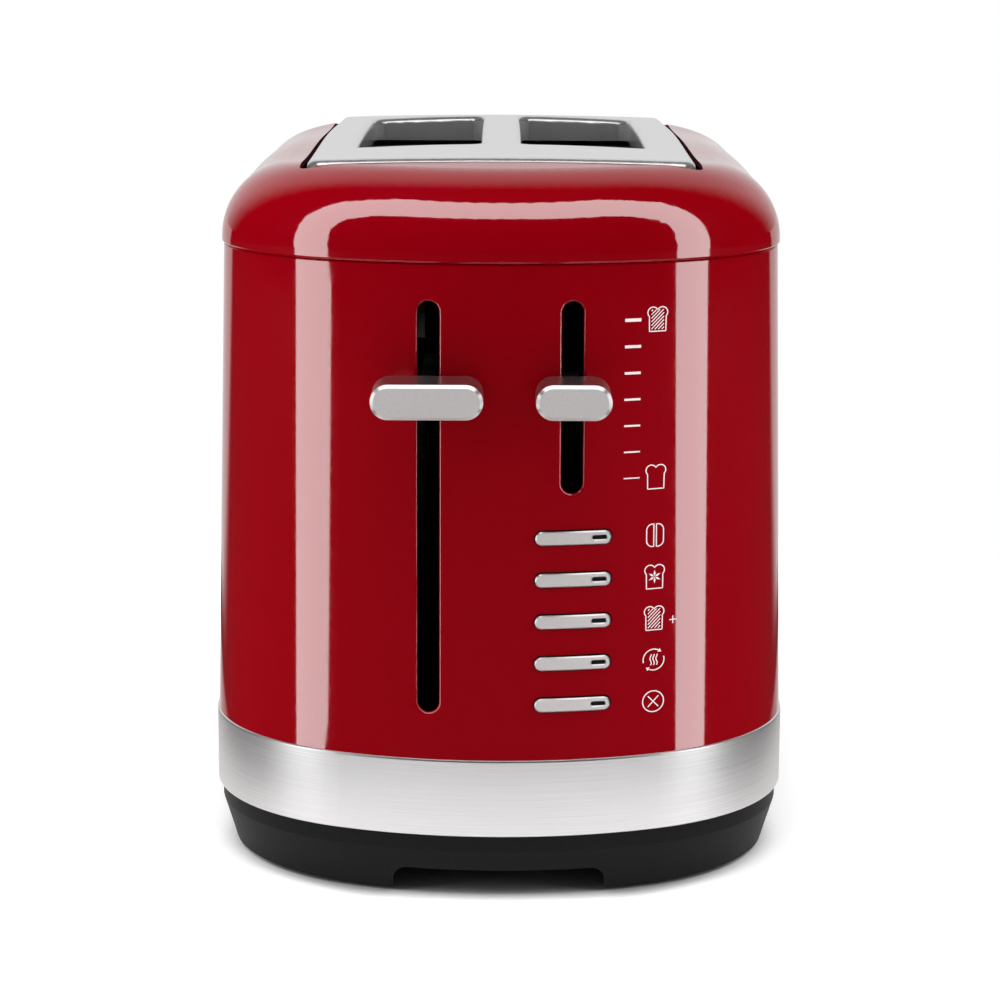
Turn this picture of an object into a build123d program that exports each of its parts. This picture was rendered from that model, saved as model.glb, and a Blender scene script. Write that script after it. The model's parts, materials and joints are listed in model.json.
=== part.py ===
from build123d import *
import math
import os

os.makedirs("parts", exist_ok=True)

# Two-slice pop-up toaster with its controls on the narrow front end.
# Millimetres, +Z up, controls face -Y. The origin is under the middle of the
# whole toaster, knobs included, on the surface that it stands on.

# Body outline and heights
end_room = 69.5
body_width = 168.4
bow_radius = 115.0
corner_room = 20.2
base_height = 18.6
band_height = 22.2
shell_height = 139.0
shell_lean = 3.2
shell_wall = 1.2
lid_rise = 28.7
lid_wall = 1.6
lid_overhang = 0.6
lid_edge_radius = 22.5
crown_drop_x = 9.5
crown_drop_y = 6.2
crown_end_drop = 0.3
seam_chamfer = 0.6

# Band and base
band_wall = 2.2
band_proud = 0.5
band_edge = 0.6
base_inset = 0.9
base_lip = 4.8
base_draw_in = 3.9
base_wall = 2.4
skirt_wall = 3.0
floor_height = 8.5
floor_thickness = 2.0
arch_width = 60.0
side_arch_length = 112.0
arch_corner = 4.0
arch_drop = 0.6
foot_x = 48.0
foot_y = 101.0
foot_radius = 10.0
pad_radius = 8.0
pad_height = 1.2
pad_recess = 1.2
boss_gap = 1.0
boss_setback = 6.0
boss_radius = 5.0
screw_radius = 1.5
screw_head_radius = 3.2
screw_head_height = 1.8
gland_setback = 17.0
gland_y = 62.0
gland_bore = 3.6
gland_wall = 2.2
gland_flange = 2.4
gland_flange_height = 1.5

# Crumb tray
tray_width = 96.0
tray_front = 82.0
tray_height = 6.0
tray_wall = 0.8
handle_depth = 21.0
finger_width = 44.0
finger_height = 3.0
finger_depth = 6.0

# Top trim and bread slots
trim_width = 110.0
trim_length = 200.0
trim_corner = 4.0
trim_wall = 1.0
trim_raise = 0.9
trim_drop_x = 6.5
trim_depth = 12.0
trim_gap_side = 2.0
trim_gap_end = 0.8
trim_edge = 2.4
slot_width = 36.6
slot_length = 135.0
slot_pitch = 48.4
slot_corner = 4.0
rim_wall = 2.2
rim_depth = 9.0
rim_edge = 2.0
upright_limit = 0.1

# Sheet metal chassis
sheet = 1.0
chamber_margin = 6.5
chassis_width = 124.0
chassis_foot = 26.0
flange_depth = 30.0
top_flange_width = 100.0
panel_x = 58.0
panel_sheet = 0.8

# Heaters
heater_x = 51.0
board_sheet = 0.8
heater_low = 66.0
heater_drop = 11.0
ribbon_width = 1.6
ribbon_sheet = 0.4
ribbon_runs = 10
ribbon_margin = 8.0

# Bread guards
guard_gap = 31.0
guard_sheet = 1.2
guard_end_gap = 4.0
guard_foot = 62.0
guard_drop = 16.0
guard_bar = 2.4
guard_columns = 9
guard_rows = 3
guard_lip_height = 7.0
guard_lip_flare = 3.0
guard_pin_radius = 1.6
guard_pin_reach = 1.2

# Controls on the front
control_z = 144.8
lever_x = -19.8
browning_x = 19.8
control_slot = 6.0
slot_edge = 0.8
stem_width = 4.0
lever_stem_height = 8.0
lift_down = 82.0
lift_up = 16.0
lever_margin = 4.6
browning_stem_height = 6.0
browning_down = 24.0
browning_up = 20.0
browning_margin = 1.6
lever_knob_width = 30.4
browning_knob_width = 20.5
knob_height = 9.6
knob_depth = 17.5
knob_stand = 18.0
knob_chamfer = 0.9
knob_socket = 8.0
button_x = 20.4
button_top = 103.9
button_pitch = 11.8
button_width = 21.2
button_height = 3.85
button_gap = 0.35
button_proud = 1.0
button_chamfer = 0.35
button_thickness = 8.0
button_travel = 1.5
button_stem_radius = 1.5
window_x = 7.2
window_width = 4.0
window_height = 1.1
window_proud = 0.3
window_chamfer = 0.25
button_names = ["bagel", "defrost", "extra", "reheat", "cancel"]

# Carriage, rods, springs and hold magnet
rod_x = 12.0
rod_radius = 2.5
rod_setback = 15.0
bush_wall = 2.5
carriage_width = 96.0
carriage_sheet = 2.0
carriage_gap = 7.0
carriage_below = 12.0
carriage_above = 8.0
bush_height = 24.0
ear_x = 42.0
ear_width = 9.0
ear_sheet = 2.0
spring_radius = 3.4
spring_wire = 0.9
spring_turns = 6
rack_width = 10.0
rack_sheet = 1.5
rack_drop = 4.0
tongue_width = 3.0
tongue_height = 12.0
tongue_reach = 4.0
prong_count = 6
prong_height = 5.0
prong_length = 3.0
armature_x = 34.0
armature_width = 18.0
armature_depth = 14.0
armature_sheet = 2.0
magnet_gap = 0.5
core_back = 4.0
core_leg = 3.5
core_centre = 5.0
coil_height = 13.0
switch_x = -38.0
switch_width = 14.0
switch_depth = 12.0
switch_height = 18.0
switch_corner = 0.6

# Control board
carrier_left = 1.0
carrier_width = 52.0
carrier_sheet = 2.0
standoff = 3.0
standoff_radius = 2.5
board_margin = 3.0
board_low = 48.0
board_high = 178.0
board_thickness = 1.6
pot_width = 10.0
pot_depth = 7.0
pot_end = 5.0
pot_dip = 3.0
tact_size = 6.0
tact_height = 5.0

# Clearances
fit = 0.15
running = 0.4
sliding = 0.5

# Heights and places that follow from the sizes above
body_length = slot_length + 2 * end_room
corner_radius = body_width / 2 - corner_room
z_band = base_height
z_shell = z_band + band_height
z_seam = z_shell + shell_height
z_crest = z_seam + lid_rise
shoulder_radius = min(lid_edge_radius, lid_rise - seam_chamfer - crown_drop_y)
chassis_top = z_crest + trim_raise - trim_depth
heater_high = chassis_top - heater_drop
guard_top = chassis_top - guard_drop
floor_top = floor_height + floor_thickness
mid_y = (knob_stand - band_proud) / 2
plate_y = slot_length / 2 + chamber_margin
guard_length = 2 * (plate_y - guard_end_gap)
flange_y = plate_y + sheet + flange_depth
rod_y = plate_y + sheet + rod_setback
carriage_y = plate_y + sheet + carriage_gap
slot_x = slot_pitch / 2
gland_x = body_width / 2 - gland_setback
boss_x = tray_width / 2 + boss_gap + boss_radius
knob_face = body_length / 2 + knob_stand
knob_back = knob_face - knob_depth
carrier_y = flange_y + carrier_sheet
board_y = carrier_y + standoff + board_thickness
rack_z = control_z - rack_drop
button_heights = [button_top - button_pitch * i for i in range(len(button_names))]

# Level sketches use LEVEL, sketches seen from the front use FRONT, whose
# offset counts forward, and sketches seen from the right use SIDE.
LEVEL = Plane(origin=(0, mid_y, 0))
FRONT = Plane(origin=(0, mid_y, 0), x_dir=(1, 0, 0), z_dir=(0, -1, 0))
SIDE = Plane(origin=(0, mid_y, 0), x_dir=(0, 1, 0), z_dir=(1, 0, 0))


def plan(inset):
    """Plan outline of the toaster: bowed ends, round corners, straight sides."""
    half_width = body_width / 2 - inset
    half_length = body_length / 2 - inset
    bow = bow_radius - inset
    end = half_length - bow + math.sqrt(bow**2 - half_width**2)
    with BuildSketch() as outline:
        with BuildLine():
            ThreePointArc((-half_width, -end), (0, -half_length), (half_width, -end))
            Line((half_width, -end), (half_width, end))
            ThreePointArc((half_width, end), (0, half_length), (-half_width, end))
            Line((-half_width, end), (-half_width, -end))
        make_face()
        fillet(outline.vertices(), corner_radius - inset)
    return outline.sketch


def leaning_form(inset, low, high):
    """Solid inside the shell's leaning wall between two heights."""
    lean_low = shell_lean * (low - z_shell) / shell_height
    lean_high = shell_lean * (high - z_shell) / shell_height
    with BuildPart() as form:
        with BuildSketch(LEVEL.offset(low)):
            add(plan(inset + lean_low))
        with BuildSketch(LEVEL.offset(high)):
            add(plan(inset + lean_high))
        loft(ruled=True)
    return form.part


def crown(crest, drop):
    """Solid under a dome: highest at crest, with this drop to its sides, level across at its ends."""
    half = body_width / 2
    with BuildPart() as dome:
        for along in (-1, -0.75, -0.5, -0.25, 0, 0.25, 0.5, 0.75, 1):
            top = crest - crown_drop_y * along**2
            edge = top - crown_end_drop - (drop - crown_end_drop) * (1 - along**4) ** 4
            with BuildSketch(FRONT.offset(along * body_length / 2)):
                with BuildLine():
                    ThreePointArc((-half, edge), (0, top), (half, edge))
                    Polyline((half, edge), (half, 0), (-half, 0), (-half, edge))
                make_face()
        loft()
    return dome.part


def lid_form(inset, bevel):
    """Solid inside the lid's skin, with its rounded shoulder and bevelled lower edge."""
    lid_inset = shell_lean - lid_overhang + inset
    with BuildPart() as form:
        with BuildSketch(LEVEL.offset(z_seam)):
            add(plan(lid_inset + bevel))
        with BuildSketch(LEVEL.offset(z_seam + seam_chamfer)):
            add(plan(lid_inset))
        loft(ruled=True)
        with BuildSketch(LEVEL.offset(z_seam + seam_chamfer)):
            add(plan(lid_inset))
        extrude(amount=lid_rise - seam_chamfer)
        add(crown(z_crest - inset, crown_drop_x), mode=Mode.INTERSECT)
        fillet(form.faces().sort_by(Axis.Z)[-1].edges(), shoulder_radius - inset)
    return form.part


def base_form():
    """Outside of the moulded base below the band."""
    with BuildPart() as form:
        with BuildSketch(LEVEL.offset(pad_height)):
            add(plan(base_inset + base_draw_in))
        with BuildSketch(LEVEL.offset(z_band - base_lip)):
            add(plan(base_inset))
        loft(ruled=True)
        with BuildSketch(LEVEL.offset(z_band - base_lip)):
            add(plan(base_inset))
        extrude(amount=base_lip)
    return form.part


def trim_form(inset):
    """Solid inside the trim plate's skin."""
    with BuildPart() as form:
        with BuildSketch(LEVEL.offset(chassis_top)):
            RectangleRounded(trim_width - 2 * inset, trim_length - 2 * inset, trim_corner - inset)
        extrude(amount=trim_depth)
        add(crown(z_crest + trim_raise - inset, trim_drop_x), mode=Mode.INTERSECT)
        fillet(form.faces().sort_by(Axis.Z)[-1].edges(), trim_edge - inset)
    return form.part


def rim_form(x):
    """Rolled rim under the trim plate, round the bread slot at x."""
    with BuildPart() as form:
        with BuildSketch(LEVEL.offset(z_crest - rim_depth)):
            with Locations((x, 0)):
                RectangleRounded(
                    slot_width + 2 * rim_wall, slot_length + 2 * rim_wall, slot_corner + rim_wall
                )
        extrude(amount=rim_depth + trim_raise)
        add(crown(z_crest + trim_raise - trim_wall / 2, trim_drop_x), mode=Mode.INTERSECT)
    return form.part


# Base: tapered tray with arches between its feet, bosses and a tray opening
upstand_inset = band_wall - band_proud + fit
boss_y = plate_y + sheet + boss_setback
boss_points = [(sx * boss_x, sy * boss_y) for sx in (-1, 1) for sy in (-1, 1)]
foot_points = [(sx * foot_x, sy * foot_y) for sx in (-1, 1) for sy in (-1, 1)]
tray_opening_height = tray_height + sliding

with BuildPart() as base:
    add(base_form())
    with BuildSketch(LEVEL.offset(z_band)):
        add(plan(upstand_inset))
    extrude(amount=band_height)
    with BuildSketch(LEVEL.offset(floor_top)):
        add(plan(upstand_inset + base_wall))
    extrude(amount=z_shell - floor_top, mode=Mode.SUBTRACT)
    with BuildSketch(LEVEL):
        add(plan(base_inset + base_draw_in + skirt_wall))
    extrude(amount=floor_height, mode=Mode.SUBTRACT)
    with BuildSketch(FRONT):
        RectangleRounded(arch_width, 2 * (floor_height - arch_drop), arch_corner)
    extrude(amount=body_length, both=True, mode=Mode.SUBTRACT)
    with BuildSketch(SIDE):
        RectangleRounded(side_arch_length, 2 * (floor_height - arch_drop), arch_corner)
    extrude(amount=body_width, both=True, mode=Mode.SUBTRACT)
    with BuildSketch(LEVEL.offset(pad_height)):
        with Locations(*foot_points):
            Circle(foot_radius)
    extrude(amount=floor_height - pad_height)
    with BuildSketch(LEVEL.offset(pad_height)):
        with Locations(*foot_points):
            Circle(pad_radius + fit)
    extrude(amount=pad_recess, mode=Mode.SUBTRACT)
    with BuildSketch(LEVEL.offset(floor_top)):
        with Locations(*boss_points):
            Circle(boss_radius)
    extrude(amount=chassis_foot - floor_top)
    with BuildSketch(LEVEL.offset(floor_height)):
        with Locations(*boss_points):
            Circle(screw_radius + fit)
    extrude(amount=chassis_foot - floor_height, mode=Mode.SUBTRACT)
    with BuildSketch(LEVEL.offset(floor_height)):
        with Locations((gland_x, gland_y)):
            Circle(gland_bore + gland_wall + fit)
    extrude(amount=floor_thickness, mode=Mode.SUBTRACT)
    with BuildSketch(FRONT.offset(-body_length / 2 + handle_depth)):
        with Locations((0, floor_top + tray_opening_height / 2)):
            Rectangle(tray_width + 2 * sliding, tray_opening_height)
    extrude(amount=-handle_depth, mode=Mode.SUBTRACT)
base.part.label = "base"
export_step(base.part, "parts/base.step")

# Rubber pads under the four feet
with BuildPart() as foot_pads:
    with BuildSketch(LEVEL):
        with Locations(*foot_points):
            Circle(pad_radius)
    extrude(amount=pad_height + pad_recess)
foot_pads.part.label = "foot_pads"
export_step(foot_pads.part, "parts/foot_pads.step")

# Screws up through the bosses into the chassis feet
with BuildPart() as base_screws:
    with BuildSketch(LEVEL.offset(floor_height)):
        with Locations(*boss_points):
            Circle(screw_radius)
    extrude(amount=chassis_foot + sheet - floor_height)
    with BuildSketch(LEVEL.offset(floor_height - screw_head_height)):
        with Locations(*boss_points):
            Circle(screw_head_radius)
    extrude(amount=screw_head_height)
base_screws.part.label = "base_screws"
export_step(base_screws.part, "parts/base_screws.step")

# Grommet where the supply lead leaves through the floor of the base
with BuildPart() as cord_gland:
    with BuildSketch(LEVEL.offset(floor_height - gland_flange_height)):
        with Locations((gland_x, gland_y)):
            Circle(gland_bore + gland_wall + gland_flange)
    extrude(amount=gland_flange_height)
    with BuildSketch(LEVEL.offset(floor_height)):
        with Locations((gland_x, gland_y)):
            Circle(gland_bore + gland_wall)
    extrude(amount=floor_thickness)
    with BuildSketch(LEVEL.offset(floor_top)):
        with Locations((gland_x, gland_y)):
            Circle(gland_bore + gland_wall + gland_flange)
    extrude(amount=gland_flange_height)
    with BuildSketch(LEVEL.offset(floor_height - gland_flange_height)):
        with Locations((gland_x, gland_y)):
            Circle(gland_bore)
    extrude(amount=floor_thickness + 2 * gland_flange_height, mode=Mode.SUBTRACT)
cord_gland.part.label = "cord_gland"
export_step(cord_gland.part, "parts/cord_gland.step")

# Crumb tray and the drawer front that closes the opening behind it
handle_y = body_length / 2 - handle_depth
with BuildPart() as crumb_tray:
    with BuildSketch(LEVEL.offset(floor_top)):
        with Locations((0, (handle_y - tray_front) / 2)):
            Rectangle(tray_width, handle_y + tray_front)
    extrude(amount=tray_height)
    with BuildSketch(LEVEL.offset(floor_top + tray_wall)):
        with Locations((0, (handle_y - tray_front) / 2)):
            Rectangle(tray_width - 2 * tray_wall, handle_y + tray_front - 2 * tray_wall)
    extrude(amount=tray_height - tray_wall, mode=Mode.SUBTRACT)
crumb_tray.part.label = "crumb_tray"
export_step(crumb_tray.part, "parts/crumb_tray.step")

with BuildPart() as tray_handle:
    with BuildSketch(FRONT.offset(-handle_y)):
        with Locations((0, floor_top + tray_height / 2)):
            Rectangle(tray_width, tray_height)
    extrude(amount=-handle_depth)
    add(base_form(), mode=Mode.INTERSECT)
    with BuildSketch(FRONT.offset(-body_length / 2)):
        with Locations((0, floor_top + tray_height / 2)):
            SlotOverall(finger_width, finger_height)
    extrude(amount=finger_depth, mode=Mode.SUBTRACT)
tray_handle.part.label = "tray_handle"
export_step(tray_handle.part, "parts/tray_handle.step")

# Brushed band between base and shell
with BuildPart() as base_band:
    with BuildSketch(LEVEL.offset(z_band)):
        add(plan(-band_proud))
    extrude(amount=band_height)
    fillet(base_band.faces().filter_by(Axis.Z).edges(), band_edge)
    with BuildSketch(LEVEL.offset(z_band)):
        add(plan(band_wall - band_proud))
    extrude(amount=band_height, mode=Mode.SUBTRACT)
base_band.part.label = "base_band"
export_step(base_band.part, "parts/base_band.step")

# Painted shell with its leaning walls and the openings for the controls
lever_slot_low = control_z - lift_down - lever_stem_height / 2 - lever_margin
lever_slot_high = control_z + lift_up + lever_stem_height / 2 + lever_margin
browning_slot_low = control_z - browning_down - browning_stem_height / 2 - browning_margin
browning_slot_high = control_z + browning_up + browning_stem_height / 2 + browning_margin

with BuildPart() as body_shell:
    add(leaning_form(0, z_shell, z_seam))
    chamfer(body_shell.faces().sort_by(Axis.Z)[-1].edges(), seam_chamfer)
    add(leaning_form(shell_wall, z_shell, z_seam), mode=Mode.SUBTRACT)
    with BuildSketch(FRONT):
        for x, low, high in (
            (lever_x, lever_slot_low, lever_slot_high),
            (browning_x, browning_slot_low, browning_slot_high),
        ):
            with Locations((x, (low + high) / 2)):
                SlotOverall(high - low, control_slot, rotation=90)
    extrude(amount=body_length, mode=Mode.SUBTRACT)
    front_skin = body_shell.faces().filter_by(lambda face: face.inner_wires()).sort_by(Axis.Y)[0]
    fillet([edge for wire in front_skin.inner_wires() for edge in wire.edges()], slot_edge)
    with BuildSketch(FRONT):
        with Locations(*[(button_x, z) for z in button_heights]):
            SlotOverall(button_width + 2 * button_gap, button_height + 2 * button_gap)
    extrude(amount=body_length, mode=Mode.SUBTRACT)
body_shell.part.label = "body_shell"
export_step(body_shell.part, "parts/body_shell.step")

# Lid with its rounded shoulder and the opening for the trim
with BuildPart() as lid:
    add(lid_form(0, seam_chamfer))
    add(lid_form(lid_wall, 0), mode=Mode.SUBTRACT)
    with BuildSketch(LEVEL.offset(z_seam)):
        RectangleRounded(
            trim_width + 2 * trim_gap_side, trim_length + 2 * trim_gap_end, trim_corner
        )
    extrude(amount=lid_rise, mode=Mode.SUBTRACT)
lid.part.label = "lid"
export_step(lid.part, "parts/lid.step")

# Trim plate with a rolled rim round each bread slot
with BuildPart() as top_trim:
    add(trim_form(0))
    add(trim_form(trim_wall), mode=Mode.SUBTRACT)
    add(rim_form(-slot_x))
    add(rim_form(slot_x))
    with BuildSketch(LEVEL.offset(z_crest - trim_depth)):
        with Locations((-slot_x, 0), (slot_x, 0)):
            RectangleRounded(slot_width, slot_length, slot_corner)
    extrude(amount=2 * trim_depth, mode=Mode.SUBTRACT)
    rim_walls = top_trim.faces(Select.LAST).filter_by(lambda f: abs(f.normal_at().Z) < upright_limit)
    fillet([wall.edges().sort_by(Axis.Z)[-1] for wall in rim_walls], rim_edge)
top_trim.part.label = "top_trim"
export_step(top_trim.part, "parts/top_trim.step")

# Chassis end plates: bent sheets that carry the trim, heaters and guards
guard_places = [
    (name, slot * slot_x, slot * side)
    for name, slot, side in (
        ("left_outer", -1, 1),
        ("left_inner", -1, -1),
        ("right_inner", 1, -1),
        ("right_outer", 1, 1),
    )
]
guard_offset = (guard_gap + guard_sheet) / 2
guard_hinges = [(x + out * guard_offset, guard_foot) for name, x, out in guard_places]
tongue_low = control_z - tongue_height / 2
tongue_slot_low = tongue_low - lift_down - sliding
tongue_slot_high = tongue_low + tongue_height + lift_up + sliding


def end_plate(front):
    """One chassis end plate; front is 1 for the control end, -1 for the rear."""
    with BuildPart() as plate:
        with BuildSketch(FRONT.offset(front * plate_y)):
            with Locations((0, (chassis_foot + chassis_top) / 2)):
                Rectangle(chassis_width, chassis_top - chassis_foot)
            with Locations(*[(x, (tongue_slot_low + tongue_slot_high) / 2) for x in (-slot_x, slot_x)]):
                SlotOverall(
                    tongue_slot_high - tongue_slot_low + tongue_width,
                    tongue_width + 2 * sliding,
                    rotation=90,
                    mode=Mode.SUBTRACT,
                )
            with Locations(*guard_hinges):
                Circle(guard_pin_radius + fit, mode=Mode.SUBTRACT)
        extrude(amount=front * sheet)
        flange_middle = -front * (plate_y + flange_y) / 2
        with BuildSketch(LEVEL.offset(chassis_top - sheet)):
            with Locations((0, flange_middle)):
                Rectangle(top_flange_width, flange_y - plate_y)
        extrude(amount=sheet)
        with BuildSketch(LEVEL.offset(chassis_foot)):
            with Locations((0, flange_middle)):
                Rectangle(2 * (boss_x + boss_radius), flange_y - plate_y)
        extrude(amount=sheet)
        with BuildSketch(LEVEL.offset(chassis_foot)):
            with Locations(*[(x, -front * boss_y) for x in (-boss_x, boss_x)]):
                Circle(screw_radius + fit)
        extrude(amount=sheet, mode=Mode.SUBTRACT)
    return plate.part


with BuildPart() as front_plate:
    add(end_plate(1))
    with BuildSketch(LEVEL.offset(chassis_foot)):
        with Locations((-rod_x, -rod_y), (rod_x, -rod_y)):
            Circle(rod_radius + fit)
    extrude(amount=chassis_top - chassis_foot, mode=Mode.SUBTRACT)
front_plate.part.label = "front_plate"
export_step(front_plate.part, "parts/front_plate.step")

with BuildPart() as rear_plate:
    add(end_plate(-1))
rear_plate.part.label = "rear_plate"
export_step(rear_plate.part, "parts/rear_plate.step")

# Side reflectors between the end plates
for name, side in (("reflector_left", -1), ("reflector_right", 1)):
    with BuildPart() as reflector:
        with BuildSketch(SIDE.offset(side * panel_x)):
            with Locations((0, (chassis_foot + chassis_top) / 2)):
                Rectangle(2 * plate_y, chassis_top - chassis_foot)
        extrude(amount=side * panel_sheet)
    reflector.part.label = name
    export_step(reflector.part, f"parts/{name}.step")


def ribbon(plane, direction):
    """Heating ribbon laid to and fro up one face of a board."""
    run_length = 2 * plate_y - 2 * ribbon_margin
    run_pitch = (heater_high - heater_low - 2 * ribbon_margin) / (ribbon_runs - 1)
    with BuildPart() as winding:
        with BuildSketch(plane):
            for i in range(ribbon_runs):
                height = heater_low + ribbon_margin + i * run_pitch
                with Locations((0, height)):
                    Rectangle(run_length, ribbon_width)
                end = (run_length - ribbon_width) / 2 * (1 if i % 2 else -1)
                if i < ribbon_runs - 1:
                    with Locations((end, height + run_pitch / 2)):
                        Rectangle(ribbon_width, run_pitch + ribbon_width)
        extrude(amount=direction * ribbon_sheet)
    return winding.part


# Heaters: a mica board on each side and one between the slots
for name, x, faces in (
    ("left", -heater_x, (1,)),
    ("centre", 0, (-1, 1)),
    ("right", heater_x, (-1,)),
):
    with BuildPart() as heater_board:
        with BuildSketch(SIDE.offset(x - board_sheet / 2)):
            with Locations((0, (heater_low + heater_high) / 2)):
                Rectangle(2 * plate_y, heater_high - heater_low)
        extrude(amount=board_sheet)
    heater_board.part.label = f"heater_board_{name}"
    export_step(heater_board.part, f"parts/heater_board_{name}.step")
    with BuildPart() as heater_ribbon:
        for face in faces:
            add(ribbon(SIDE.offset(x + face * board_sheet / 2), face))
    heater_ribbon.part.label = f"heater_ribbon_{name}"
    export_step(heater_ribbon.part, f"parts/heater_ribbon_{name}.step")

# Bread guards: flat grilles on a hinge wire, with a flared lip at the mouth
panel_height = guard_top - guard_foot
window_pitch_y = (guard_length - guard_bar) / guard_columns
window_pitch_z = (panel_height - 2 * guard_bar) / guard_rows
for name, x, out in guard_places:
    inner_face = x + out * guard_gap / 2
    hinge_x = x + out * guard_offset
    with BuildPart() as guard:
        with BuildSketch(SIDE.offset(inner_face)):
            with Locations((0, (guard_foot + guard_top) / 2)):
                Rectangle(guard_length, panel_height)
            with Locations((0, (guard_foot + guard_top + guard_bar) / 2)):
                with GridLocations(window_pitch_y, window_pitch_z, guard_columns, guard_rows):
                    Rectangle(window_pitch_y - guard_bar, window_pitch_z - guard_bar, mode=Mode.SUBTRACT)
        extrude(amount=out * guard_sheet)
        with BuildSketch(FRONT.offset(-guard_length / 2)):
            with BuildLine():
                Polyline(
                    (inner_face, guard_top),
                    (inner_face + out * guard_lip_flare, guard_top + guard_lip_height),
                    (inner_face + out * (guard_lip_flare + guard_sheet), guard_top + guard_lip_height),
                    (inner_face + out * guard_sheet, guard_top),
                    close=True,
                )
            make_face()
        extrude(amount=guard_length)
        with BuildSketch(FRONT.offset(-plate_y - sheet - guard_pin_reach)):
            with Locations((hinge_x, guard_foot)):
                Circle(guard_pin_radius)
        extrude(amount=2 * (plate_y + sheet + guard_pin_reach))
    guard.part.label = f"guard_{name}"
    export_step(guard.part, f"parts/guard_{name}.step")

# Guide rods between the front plate's two flanges
with BuildPart() as guide_rods:
    with BuildSketch(LEVEL.offset(chassis_foot)):
        with Locations((-rod_x, -rod_y), (rod_x, -rod_y)):
            Circle(rod_radius)
    extrude(amount=chassis_top - chassis_foot)
guide_rods.part.label = "guide_rods"
export_step(guide_rods.part, "parts/guide_rods.step")

# Carriage: cross plate with two bushes on the rods and two spring ears
carriage_low = control_z - carriage_below
bush_radius = rod_radius + running + bush_wall
with BuildPart() as carriage:
    with BuildSketch(LEVEL.offset(carriage_low)):
        with Locations((0, -carriage_y - carriage_sheet / 2)):
            Rectangle(carriage_width, carriage_sheet)
    extrude(amount=carriage_below + carriage_above)
    with BuildSketch(LEVEL.offset(carriage_low)):
        with Locations((-rod_x, -rod_y), (rod_x, -rod_y)):
            Circle(bush_radius)
        with Locations(*[(x, -(rod_y + carriage_y) / 2) for x in (-rod_x, rod_x)]):
            Rectangle(2 * bush_wall, rod_y - carriage_y)
    extrude(amount=bush_height)
    with BuildSketch(LEVEL.offset(control_z + carriage_above - ear_sheet)):
        with Locations(*[(x, -(rod_y + carriage_y + ear_width / 2) / 2) for x in (-ear_x, ear_x)]):
            Rectangle(ear_width, rod_y - carriage_y + ear_width / 2)
    extrude(amount=ear_sheet)
    with BuildSketch(LEVEL.offset(carriage_low)):
        with Locations((-rod_x, -rod_y), (rod_x, -rod_y)):
            Circle(rod_radius + running)
    extrude(amount=bush_height, mode=Mode.SUBTRACT)
carriage.part.label = "carriage"
export_step(carriage.part, "parts/carriage.step")

# Armature plate under the carriage, which the hold magnet catches
armature_y = carriage_y + armature_depth / 2
with BuildPart() as armature:
    with BuildSketch(LEVEL.offset(carriage_low - armature_sheet)):
        with Locations((armature_x, -armature_y)):
            Rectangle(armature_width, armature_depth)
    extrude(amount=armature_sheet)
armature.part.label = "armature"
export_step(armature.part, "parts/armature.step")

# Hold magnet: E-shaped core and the coil on its middle leg
magnet_foot = chassis_foot + sheet
magnet_top = carriage_low - armature_sheet - lift_down - magnet_gap
core_window = (armature_width - 2 * core_leg - core_centre) / 2
core_depth = armature_depth - 2 * sliding
with BuildPart() as magnet_core:
    with BuildSketch(FRONT.offset(armature_y - core_depth / 2)):
        with Locations((armature_x, (magnet_foot + magnet_top) / 2)):
            Rectangle(armature_width, magnet_top - magnet_foot)
        for side in (-1, 1):
            window_middle = armature_x + side * (core_centre + core_window) / 2
            with Locations((window_middle, (magnet_foot + core_back + magnet_top) / 2)):
                Rectangle(core_window, magnet_top - magnet_foot - core_back, mode=Mode.SUBTRACT)
    extrude(amount=core_depth)
magnet_core.part.label = "magnet_core"
export_step(magnet_core.part, "parts/magnet_core.step")

with BuildPart() as magnet_coil:
    with BuildSketch(LEVEL.offset(magnet_foot + core_back)):
        with Locations((armature_x, -armature_y)):
            RectangleRounded(
                core_centre + 2 * core_window - 2 * fit, core_depth + 2 * core_window, core_window / 2
            )
            Rectangle(core_centre + 2 * fit, core_depth + 2 * fit, mode=Mode.SUBTRACT)
    extrude(amount=coil_height)
magnet_coil.part.label = "magnet_coil"
export_step(magnet_coil.part, "parts/magnet_coil.step")

# Mains switch that the carriage closes at the bottom of its travel
with BuildPart() as power_switch:
    with BuildSketch(LEVEL.offset(magnet_foot)):
        with Locations((switch_x, -rod_y)):
            Rectangle(switch_width, switch_depth)
    extrude(amount=switch_height)
    fillet(power_switch.edges().filter_by(Axis.Z), switch_corner)
power_switch.part.label = "power_switch"
export_step(power_switch.part, "parts/power_switch.step")


def coil_path(radius, low, high, turns):
    """Path of a coil spring as half turns, each a single arc."""
    step = (high - low) / turns / 2
    with BuildLine() as path:
        for i in range(2 * turns):
            side = 1 if i % 2 == 0 else -1
            start = (side * radius, 0, low + i * step)
            middle = (0, side * radius, low + (i + 0.5) * step)
            ThreePointArc(start, middle, (-side * radius, 0, low + (i + 1) * step))
    return path.line


# Lift springs between the carriage's ears and the front plate's top flange
spring_low = control_z + carriage_above + spring_wire / 2 + fit
spring_high = chassis_top - sheet - spring_wire / 2 - fit
for name, x in (("lift_spring_left", -ear_x), ("lift_spring_right", ear_x)):
    with BuildPart() as lift_spring:
        turns = coil_path(spring_radius, spring_low, spring_high, spring_turns)
        turns = turns.moved(Location((x, mid_y - rod_y, 0)))
        with BuildSketch(Plane(origin=turns @ 0, z_dir=turns % 0)):
            Rectangle(spring_wire, spring_wire)
        sweep(path=turns)
    lift_spring.part.label = name
    export_step(lift_spring.part, f"parts/{name}.step")

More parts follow.
